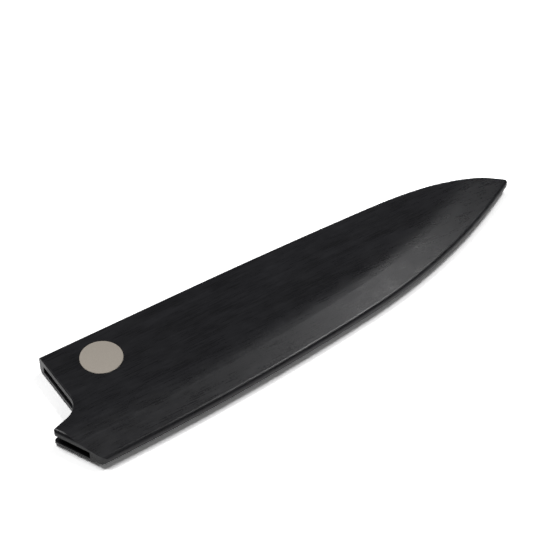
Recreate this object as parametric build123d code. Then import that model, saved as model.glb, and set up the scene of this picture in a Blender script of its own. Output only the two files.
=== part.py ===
from build123d import *
import os
from math import cos, radians, sin, tan

# A slim wooden knife sheath that lies flat. X runs from the mouth to the tip, Y from the cutting edge
# to the spine, and Z up through the thickness. All lengths are millimetres and all angles degrees.
# Plan positions are first taken from the point where the mouth meets the spine.

# Outline seen from above
mouth_to_tip = 216.2        # from the mouth's face to the tip, before the tip is rounded
sheath_width = 55.8         # from the spine to the lowest point of the cutting edge's side
tip_drop = 19.1             # of the tip, down from the spine
spine_straight = 60.5       # from the mouth to where the spine starts to curve
edge_lead = 3.8             # from the heel's corner to where the cutting edge's side starts to curve
tip_straight = 6.0          # both borders run straight for this far before they meet
tip_radius = 1.1

# The arcs of both long borders, mouth to tip: each radius as a share of the last one's, and each turn
# as a share of the whole turn
edge_radius_shares = [3.95, 1.0]
edge_turn_shares = [0.25, 0.75]
spine_radius_shares = [32.4, 5.0, 1.9, 1.0]
spine_turn_shares = [0.06, 0.064, 0.2, 0.676]

# Notch for the knife's neck, and the tongue behind the heel
neck_depth = 34.95          # of the tongue's corner, down from the spine
tongue_reach = 13.45        # of the tongue's corner, back from the mouth
notch_slope = 17.0          # of the notch's lower wall, falling towards the tongue's corner
heel_slope = 25.1           # of the tongue's end face, off square
notch_radius = 9.0
tongue_radius = 1.2
heel_corner_radius = 3.4

# Three glued layers
scale_thickness = 2.7
slot_height = 3.4
spine_wall = 3.2            # of the middle layer beside the spine
edge_wall = 5.8             # of the middle layer beside the cutting edge

# Outer shape of a scale
edge_side = 0.1             # of its thickness that the bevel leaves along the cutting edge
bevel_width = 14.4
ridge_radius = 40.0         # softens the line where the bevel starts
edge_round = 1.6            # of both arrises along the cutting edge, across the glue lines
upper_round = 1.4           # of the upper scale, along the spine and round the tongue's end
lower_round_share = 0.93    # the same of the lower scale, as a share of the bevel's fall
mouth_round = 0.6           # round the mouth and the notch

# Round metal inlay and the magnets
medallion_diameter = 17.0
medallion_thickness = 0.8
medallion_chamfer = 0.15
medallion_from_mouth = 19.8
medallion_from_spine = 13.5
magnet_diameter = 10.0
magnet_thickness = 1.5
magnet_chamfer = 0.2
magnet_pitch = 60.0
magnet_count = 3            # in each scale, the first one under the medallion
magnet_sink = 0.2           # below the scale's inner face, so that the blade never rubs on one
inlay_clearance = 0.1       # all round, for glue

cut_overrun = 20.0          # of cutting shapes past what they cut
widest_turn = 90.0          # of a long border, which its search starts from
turn_halvings = 50

core_level = scale_thickness
half_slot = slot_height / 2
half_side = half_slot + edge_side
half_thickness = half_slot + scale_thickness
upper_level = core_level + slot_height
bevel_drop = scale_thickness - edge_side
lower_round = lower_round_share * bevel_drop

# Corners of the outline, before they are rounded
tip = Vector(mouth_to_tip, -tip_drop)
notch = Vector(0, tongue_reach * tan(radians(notch_slope)) - neck_depth)
tongue = Vector(-tongue_reach, -neck_depth)
heel = Vector((sheath_width - neck_depth) * tan(radians(heel_slope)) - tongue_reach, -sheath_width)
blank_corner = Vector(-tongue_reach - neck_depth * tan(radians(heel_slope)), 0)


def arcs_reach(arcs):
    """How far arcs that start along X carry a border forwards and inwards."""
    forward = inward = turned = 0
    for radius, turn in arcs:
        start, end = radians(turned), radians(turned + turn)
        forward += radius * (sin(end) - sin(start))
        inward += radius * (cos(start) - cos(end))
        turned += turn
    return forward, inward


def arcs_to_tip(curve_start, radius_shares, turn_shares):
    """The arcs that bring a border from its curve's start to the tip, with a straight after them."""
    forward = tip.X - curve_start.X
    inward = abs(tip.Y - curve_start.Y)
    low, high = 0, widest_turn
    for _ in range(turn_halvings):
        turn = (low + high) / 2
        unit_forward, unit_inward = arcs_reach([(r, turn * t) for r, t in zip(radius_shares, turn_shares)])
        scale = (forward - tip_straight * cos(radians(turn))) / unit_forward
        if scale * unit_inward + tip_straight * sin(radians(turn)) < inward:
            low = turn
        else:
            high = turn
    return [(scale * r, turn * t) for r, t in zip(radius_shares, turn_shares)]


# Each long border: where it starts to curve, its arcs, and the way inwards along Y
edge_curve_start = Vector(heel.X + edge_lead, -sheath_width)
spine_curve_start = Vector(spine_straight, 0)
EDGE = (edge_curve_start, arcs_to_tip(edge_curve_start, edge_radius_shares, edge_turn_shares), 1)
SPINE = (spine_curve_start, arcs_to_tip(spine_curve_start, spine_radius_shares, spine_turn_shares), -1)


def border(side, inset, lead, run_on):
    """One long border moved inwards: a straight lead, its arcs, and a straight run past them."""
    curve_start, arcs, inwards = side
    start = curve_start + Vector(0, inwards * inset)
    pieces = [Line(start - Vector(lead, 0), start)]
    for radius, turn in arcs:
        pieces.append(JernArc(pieces[-1] @ 1, pieces[-1] % 1, radius - inset, inwards * turn))
    end = pieces[-1] @ 1
    pieces.append(Line(end, end + (pieces[-1] % 1) * run_on))
    return pieces


def zone(side, inset, level=0, way=-1):
    """All that lies on one side of a long border, once that border is moved inwards by inset."""
    inwards = side[2]
    lead = side[0].X - blank_corner.X + cut_overrun
    pieces = border(side, inset, lead, tip_straight + cut_overrun)
    first, last = pieces[0] @ 0, pieces[-1] @ 1
    far = side[0].Y + way * inwards * (sheath_width + cut_overrun)
    closing = Polyline(last, (last.X, far), (first.X, far), first)
    return Pos(0, 0, level) * make_face(Curve() + pieces + closing)


def plan(corners, rounds):
    """The face between both long borders and the given corners, which run from heel to spine."""
    edge = border(EDGE, 0, edge_curve_start.X - corners[0].X, tip_straight)
    spine = border(SPINE, 0, spine_curve_start.X - corners[-1].X, tip_straight)
    face = make_face(Curve() + edge + spine + Polyline(*corners))
    for corner, radius in rounds:
        face = fillet(face.vertices().sort_by_distance(corner)[0], radius)
    return face


ends = [(heel, heel_corner_radius), (tip, tip_radius)]
blank = plan([heel, blank_corner], ends)
outline = plan([heel, tongue, notch, Vector(0, 0)], [*ends, (tongue, tongue_radius), (notch, notch_radius)])


def rounded_prism(face, radius):
    """A scale's full thickness over a face, with its outer arris rounded all the way round."""
    prism = extrude(face, scale_thickness)
    return fillet(prism.edges().group_by(Axis.Z)[-1], radius)


def half_blank():
    """All three layers from the middle of the slot upwards, shaped along the cutting edge alone."""
    bevel = loft(
        [zone(EDGE, 0, half_side, 1), zone(EDGE, bevel_width, half_thickness, 1)],
        ruled=True,
    )
    slab = extrude(zone(EDGE, 0, 0, 1), half_side) + bevel

    # Each fillet runs on from the arcs to the straight lines beside them
    ridge = slab.edges().filter_by(GeomType.CIRCLE).group_by(Axis.Z)[-1]
    slab = fillet(ridge, ridge_radius)
    arris = slab.edges().filter_by(GeomType.CIRCLE).group_by(Axis.Z)[1]
    return fillet(arris, edge_round)


upper_half = half_blank()


def outer_shape(blank_round):
    """A scale with its inner face at zero and its outer face up, before anything is cut in it."""
    scale = Pos(0, 0, -half_slot) * upper_half
    return scale & rounded_prism(blank, blank_round) & rounded_prism(outline, mouth_round)


def strip(face):
    """A strip of the middle layer, with the middle of the slot at zero."""
    upper_part = extrude(face, half_slot) & upper_half
    return upper_part + mirror(upper_part, Plane.XY)


def disc(diameter, thickness, level, place):
    """A disc with its lower face at level."""
    solid = extrude(Circle(diameter / 2), thickness)
    return Pos(place.X, place.Y, level) * solid


medallion_place = Vector(medallion_from_mouth, -medallion_from_spine)
magnet_places = [medallion_place + Vector(i * magnet_pitch, 0) for i in range(magnet_count)]
pocket_diameter = magnet_diameter + 2 * inlay_clearance
pocket_depth = magnet_sink + magnet_thickness
medallion_level = scale_thickness - medallion_thickness

# Both scales are made with their inner face at zero
pockets = [disc(pocket_diameter, pocket_depth, 0, place) for place in magnet_places]
inlay_cuts = [
    disc(medallion_diameter + 2 * inlay_clearance, medallion_thickness, medallion_level, medallion_place),
    disc(pocket_diameter, scale_thickness, 0, medallion_place),
]
upper_scale = outer_shape(upper_round) - pockets - inlay_cuts
lower_scale = outer_shape(lower_round) - pockets

# The middle layer
spine_face = outline & zone(SPINE, spine_wall)
edge_face = (outline & zone(EDGE, edge_wall)) - zone(SPINE, spine_wall)

# The inlay, and magnets that sit on the pockets' floors, apart from the one behind the inlay
medallion = disc(medallion_diameter, medallion_thickness, 0, medallion_place)
medallion = chamfer(medallion.edges().group_by(Axis.Z)[-1], medallion_chamfer)
magnet = disc(magnet_diameter, magnet_thickness, 0, Vector(0, 0))
magnet = chamfer(magnet.edges(), magnet_chamfer)

to_upper = Pos(0, 0, upper_level)
to_lower = Pos(0, 0, core_level)
to_middle = Pos(0, 0, half_thickness)
parts = {
    "upper_scale": to_upper * upper_scale,
    "lower_scale": to_lower * mirror(lower_scale, Plane.XY),
    "spine_strip": to_middle * strip(spine_face),
    "edge_strip": to_middle * strip(edge_face),
    "medallion": to_upper * Pos(0, 0, medallion_level) * medallion,
}
for number, place in enumerate(magnet_places, start=1):
    at_place = Pos(place.X, place.Y, 0)
    behind_medallion = place == medallion_place
    upper_seat = medallion_level - magnet_thickness if behind_medallion else magnet_sink
    parts[f"upper_magnet_{number}"] = to_upper * at_place * Pos(0, 0, upper_seat) * magnet
    parts[f"lower_magnet_{number}"] = to_lower * at_place * Pos(0, 0, -pocket_depth) * magnet

# The part's own origin lies under the middle of the outline
box = outline.bounding_box()
to_origin = Pos(-box.center().X, -box.center().Y, 0)
os.makedirs("parts", exist_ok=True)
for name, solid in parts.items():
    export_step(to_origin * solid, f"parts/{name}.step")
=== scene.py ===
import math

import bmesh
import bpy
from mathutils import Euler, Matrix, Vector

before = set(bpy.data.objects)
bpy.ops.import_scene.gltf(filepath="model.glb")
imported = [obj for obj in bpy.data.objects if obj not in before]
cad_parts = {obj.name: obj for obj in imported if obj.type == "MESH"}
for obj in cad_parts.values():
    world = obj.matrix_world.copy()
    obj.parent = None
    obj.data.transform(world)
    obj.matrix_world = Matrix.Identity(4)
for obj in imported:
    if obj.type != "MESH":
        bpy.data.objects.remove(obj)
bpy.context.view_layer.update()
print("frame loaded:", len(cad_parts), "nodes")

mm = 0.001


def toLinear(hexText):
    # sRGB hex to the linear colour that the shaders take
    values = [int(hexText[i:i + 2], 16) / 255 for i in (1, 3, 5)]
    return [v / 12.92 if v <= 0.04045 else ((v + 0.055) / 1.055) ** 2.4 for v in values] + [1.0]


def addNode(tree, kind, settings=(), links=()):
    # settings are node properties or socket values, links are (socket, source socket)
    node = tree.nodes.new(kind)
    for name, value in dict(settings).items():
        if isinstance(name, int) or name in node.inputs:
            node.inputs[name].default_value = value
        else:
            setattr(node, name, value)
    for name, source in links:
        tree.links.new(source, node.inputs[name])
    return node


def startMaterial(name):
    material = bpy.data.materials.new(name)
    material.use_nodes = True
    tree = material.node_tree
    tree.nodes.clear()
    return material, tree


def mixColours(tree, first, second, share):
    mix = addNode(tree, "ShaderNodeMix", {"data_type": "RGBA"}, [(0, share)])
    mix.inputs[6].default_value = toLinear(first)
    mix.inputs[7].default_value = toLinear(second)
    return mix.outputs[2]


# Camera, placed from the ellipse that the round inlay makes in the photograph
cameraValues = {
    "place": (-281.54, -397.73, 502.27),    # mm in the part's frame
    "tilt": 45.56,                          # degrees up from straight down
    "heading": -33.835,                     # degrees about Z
    "lens": 118.38,
    "sensor": 36.0,
}


def addCamera():
    data = bpy.data.cameras.new("photoCamera")
    data.lens = cameraValues["lens"]
    data.sensor_width = cameraValues["sensor"]
    camera = bpy.data.objects.new("photoCamera", data)
    camera.location = Vector(cameraValues["place"]) * mm
    tilt, heading = math.radians(cameraValues["tilt"]), math.radians(cameraValues["heading"])
    camera.rotation_euler = Euler((tilt, 0, heading))
    bpy.context.scene.collection.objects.link(camera)
    bpy.context.scene.camera = camera


addCamera()
print("camera placed")


# Magnolia, planed and sanded along the grain, stained black and oiled.
# The eye sees an even near-black with a soft satin sheen, in which short lengthwise fibres and
# cloudy patches of stain show.
woodValues = {
    "pale": "#222225",
    "dark": "#171719",
    "fibre": (10.0, 0.5),           # mm long and wide, real fibres are about 0.05 mm wide, drawn coarser
    "figure": (48.0, 5.5),
    "cloud": (11.0, 6.0),
    "pore": (0.9, 0.3),             # real pores are about 0.08 mm wide, drawn coarser as well
    "detail": 3.0,
    "poreDetail": 2.0,
    "noiseRoughness": 0.6,
    "stain": (0.3, 0.4, 0.3),       # weights of fibre, figure and cloud in the colour
    "stainRange": (0.36, 0.64),
    "sheen": (0.4, 0.35, 0.25),     # of fibre, cloud and pore in the roughness
    "sheenRange": (0.38, 0.62),
    "relief": (0.7, 0.3),           # of fibre and pore in the bump
    "roughness": (0.24, 0.37),
    "specular": 0.30,
    "bump": 0.020,                  # mm
}


def grainNoise(tree, place, size, shift, detail):
    # noise drawn out along X, the way the grain runs
    along, across = 1 / (size[0] * mm), 1 / (size[1] * mm)
    grainMap = addNode(tree, "ShaderNodeMapping", {"Scale": (along, across, across), "Location": shift},
                       [("Vector", place.outputs["Object"])])
    settings = {"Scale": 1.0, "Detail": detail, "Roughness": woodValues["noiseRoughness"]}
    noise = addNode(tree, "ShaderNodeTexNoise", settings, [("Vector", grainMap.outputs["Vector"])])
    return noise.outputs["Fac"]


def addUp(tree, weights, sources):
    # weighted sum of several noises
    total = None
    for weight, source in zip(weights, sources):
        step = addNode(tree, "ShaderNodeMath", {"operation": "MULTIPLY_ADD", 1: weight, 2: 0.0},
                       [(0, source)])
        if total:
            tree.links.new(total, step.inputs[2])
        total = step.outputs["Value"]
    return total


def stainedMagnolia(name, shift):
    v = woodValues
    material, tree = startMaterial(name)
    place = addNode(tree, "ShaderNodeTexCoord")
    fibre = grainNoise(tree, place, v["fibre"], shift, v["detail"])
    figure = grainNoise(tree, place, v["figure"], shift, v["detail"])
    cloud = grainNoise(tree, place, v["cloud"], shift, v["detail"])
    pore = grainNoise(tree, place, v["pore"], shift, v["poreDetail"])
    stain = addUp(tree, v["stain"], (fibre, figure, cloud))
    tone = addNode(tree, "ShaderNodeMapRange",
                   {"From Min": v["stainRange"][0], "From Max": v["stainRange"][1]}, [("Value", stain)])
    colour = mixColours(tree, v["dark"], v["pale"], tone.outputs["Result"])
    sheen = addUp(tree, v["sheen"], (fibre, cloud, pore))
    rough = addNode(tree, "ShaderNodeMapRange",
                    {"From Min": v["sheenRange"][0], "From Max": v["sheenRange"][1],
                     "To Min": v["roughness"][0], "To Max": v["roughness"][1]}, [("Value", sheen)])
    relief = addUp(tree, v["relief"], (fibre, pore))
    bump = addNode(tree, "ShaderNodeBump", {"Strength": 1.0, "Distance": v["bump"] * mm},
                   [("Height", relief)])
    shader = addNode(tree, "ShaderNodeBsdfPrincipled", {"Specular IOR Level": v["specular"], "IOR": 1.5},
                     [("Base Color", colour), ("Roughness", rough.outputs["Result"]),
                      ("Normal", bump.outputs["Normal"])])
    addNode(tree, "ShaderNodeOutputMaterial", (), [("Surface", shader.outputs["BSDF"])])
    return material


# Stainless steel, blanked and finely blasted: a dull, warm light grey with a faint speckle
steelValues = {
    "pale": "#c5bdb3",
    "dark": "#ada69c",
    "speck": 0.35,           # mm, real grit marks are about 0.05 mm
    "detail": 2.0,
    "roughness": (0.45, 0.6),
}


def blastedSteel():
    v = steelValues
    material, tree = startMaterial("blastedStainlessSteel")
    place = addNode(tree, "ShaderNodeTexCoord")
    speck = addNode(tree, "ShaderNodeTexNoise", {"Scale": 1 / (v["speck"] * mm), "Detail": v["detail"]},
                    [("Vector", place.outputs["Object"])])
    colour = mixColours(tree, v["dark"], v["pale"], speck.outputs["Fac"])
    rough = addNode(tree, "ShaderNodeMapRange",
                    {"To Min": v["roughness"][0], "To Max": v["roughness"][1]},
                    [("Value", speck.outputs["Fac"])])
    shader = addNode(tree, "ShaderNodeBsdfPrincipled", {"Metallic": 1.0},
                     [("Base Color", colour), ("Roughness", rough.outputs["Result"])])
    addNode(tree, "ShaderNodeOutputMaterial", (), [("Surface", shader.outputs["BSDF"])])
    return material


# Nickel plate on a sintered magnet: a bright, slightly warm mirror with a little haze
nickelValues = {
    "colour": "#cfc9bf",
    "haze": 0.6,             # mm
    "detail": 3.0,
    "roughness": (0.14, 0.24),
}


def nickelPlate():
    v = nickelValues
    material, tree = startMaterial("nickelPlate")
    place = addNode(tree, "ShaderNodeTexCoord")
    haze = addNode(tree, "ShaderNodeTexNoise", {"Scale": 1 / (v["haze"] * mm), "Detail": v["detail"]},
                   [("Vector", place.outputs["Object"])])
    rough = addNode(tree, "ShaderNodeMapRange",
                    {"To Min": v["roughness"][0], "To Max": v["roughness"][1]},
                    [("Value", haze.outputs["Fac"])])
    shader = addNode(tree, "ShaderNodeBsdfPrincipled",
                     {"Metallic": 1.0, "Base Color": toLinear(v["colour"])},
                     [("Roughness", rough.outputs["Result"])])
    addNode(tree, "ShaderNodeOutputMaterial", (), [("Surface", shader.outputs["BSDF"])])
    return material


def finishNode(name, material):
    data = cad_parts[name].data
    data.materials.clear()
    data.materials.append(material)


woodShifts = {
    "upper_scale": (0.0, 0.0, 0.0),
    "lower_scale": (3.1, 7.7, 2.3),
    "spine_strip": (8.2, 1.9, 5.4),
    "edge_strip": (5.6, 4.2, 9.1),
}
for nodeName, shift in woodShifts.items():
    finishNode(nodeName, stainedMagnolia("stainedMagnolia_" + nodeName, shift))
finishNode("medallion", blastedSteel())
nickel = nickelPlate()
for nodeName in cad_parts:
    if "magnet" in nodeName:
        finishNode(nodeName, nickel)
print("finishes given")


# Floor and background. The card is a real off-white for the light that it gives the object. The eye
# is shown a brighter one, and reflections a little of that, so the floor is white with its shadow kept.
stageValues = {
    "floor": 6.0,            # m across
    "segments": 8,
    "card": 0.88,            # of the light that falls on it
    "shown": 1.90,
    "mirrored": 0.35,        # share of that rise which reflections get
    "fade": (0.25, 0.45),    # m from the middle, where the light falls off and plain white takes over
    "fill": 0.06,            # the room's own light
}


def addFloor():
    v = stageValues
    mesh = bpy.data.meshes.new("floor")
    shape = bmesh.new()
    bmesh.ops.create_grid(shape, x_segments=v["segments"], y_segments=v["segments"],
                          size=v["floor"] / 2)
    shape.to_mesh(mesh)
    shape.free()
    floor = bpy.data.objects.new("floor", mesh)
    bpy.context.scene.collection.objects.link(floor)
    material, tree = startMaterial("paleCard")
    path = addNode(tree, "ShaderNodeLightPath")
    mirrored = addNode(tree, "ShaderNodeMath", {"operation": "MAXIMUM"},
                       [(0, path.outputs["Is Glossy Ray"]), (1, path.outputs["Is Transmission Ray"])])
    weighed = addNode(tree, "ShaderNodeMath", {"operation": "MULTIPLY", 1: v["mirrored"]},
                      [(0, mirrored.outputs["Value"])])
    seen = addNode(tree, "ShaderNodeMath", {"operation": "MAXIMUM"},
                   [(0, path.outputs["Is Camera Ray"]), (1, weighed.outputs["Value"])])
    level = addNode(tree, "ShaderNodeMapRange", {"To Min": v["card"], "To Max": v["shown"]},
                    [("Value", seen.outputs["Value"])])
    card = addNode(tree, "ShaderNodeBsdfDiffuse", (), [("Color", level.outputs["Result"])])
    place = addNode(tree, "ShaderNodeTexCoord")
    reach = addNode(tree, "ShaderNodeVectorMath", {"operation": "LENGTH"},
                    [(0, place.outputs["Object"])])
    far = addNode(tree, "ShaderNodeMapRange",
                  {"From Min": v["fade"][0], "From Max": v["fade"][1], "interpolation_type": "SMOOTHSTEP"},
                  [("Value", reach.outputs["Value"])])
    shownFar = addNode(tree, "ShaderNodeMath", {"operation": "MULTIPLY"},
                       [(0, far.outputs["Result"]), (1, path.outputs["Is Camera Ray"])])
    white = addNode(tree, "ShaderNodeEmission", {"Color": (1, 1, 1, 1), "Strength": 1.0})
    mix = addNode(tree, "ShaderNodeMixShader", (),
                  [(0, shownFar.outputs["Value"]), (1, card.outputs["BSDF"]), (2, white.outputs["Emission"])])
    addNode(tree, "ShaderNodeOutputMaterial", (), [("Surface", mix.outputs["Shader"])])
    mesh.materials.append(material)


def setWorld():
    world = bpy.data.worlds.new("room")
    world.use_nodes = True
    tree = world.node_tree
    tree.nodes.clear()
    path = addNode(tree, "ShaderNodeLightPath")
    room = addNode(tree, "ShaderNodeBackground", {"Strength": stageValues["fill"]})
    white = addNode(tree, "ShaderNodeBackground", {"Color": (1, 1, 1, 1), "Strength": 1.0})
    mix = addNode(tree, "ShaderNodeMixShader", (),
                  [(0, path.outputs["Is Camera Ray"]), (1, room.outputs["Background"]),
                   (2, white.outputs["Background"])])
    addNode(tree, "ShaderNodeOutputWorld", (), [("Surface", mix.outputs["Shader"])])
    bpy.context.scene.world = world


# Softboxes, each aimed at the part's middle. Azimuth runs from +X towards +Y, in degrees.
softboxes = {
    "keyBox": {     # seen in the bevel
        "azimuth": 24.0, "elevation": 55.0, "distance": 1.0, "size": (0.16, 0.11), "radiance": 12.5,
    },
    "sideBox": {    # seen in the arris below the bevel
        "azimuth": -4.0, "elevation": 61.0, "distance": 1.0, "size": (0.26, 0.22), "radiance": 20.0,
    },
    "backBox": {    # throws the short shadow in front
        "azimuth": 135.0, "elevation": 66.0, "distance": 1.0, "size": (0.40, 0.30), "radiance": 12.0,
    },
    "frontBox": {   # lightens that shadow
        "azimuth": 275.0, "elevation": 40.0, "distance": 1.2, "size": (0.70, 0.40), "radiance": 1.3,
    },
}


def addSoftbox(name, v):
    azimuth, elevation = math.radians(v["azimuth"]), math.radians(v["elevation"])
    level = math.cos(elevation)
    way = Vector((math.cos(azimuth) * level, math.sin(azimuth) * level, math.sin(elevation)))
    data = bpy.data.lights.new(name, "AREA")
    data.shape = "RECTANGLE"
    data.size, data.size_y = v["size"]
    data.energy = v["radiance"] * math.pi * data.size * data.size_y
    lamp = bpy.data.objects.new(name, data)
    lamp.location = way * v["distance"]
    lamp.rotation_euler = way.to_track_quat("Z", "Y").to_euler()
    bpy.context.scene.collection.objects.link(lamp)


addFloor()
setWorld()
for boxName, boxValues in softboxes.items():
    addSoftbox(boxName, boxValues)
print("stage and lights set")

bpy.context.scene.view_settings.view_transform = "Standard"
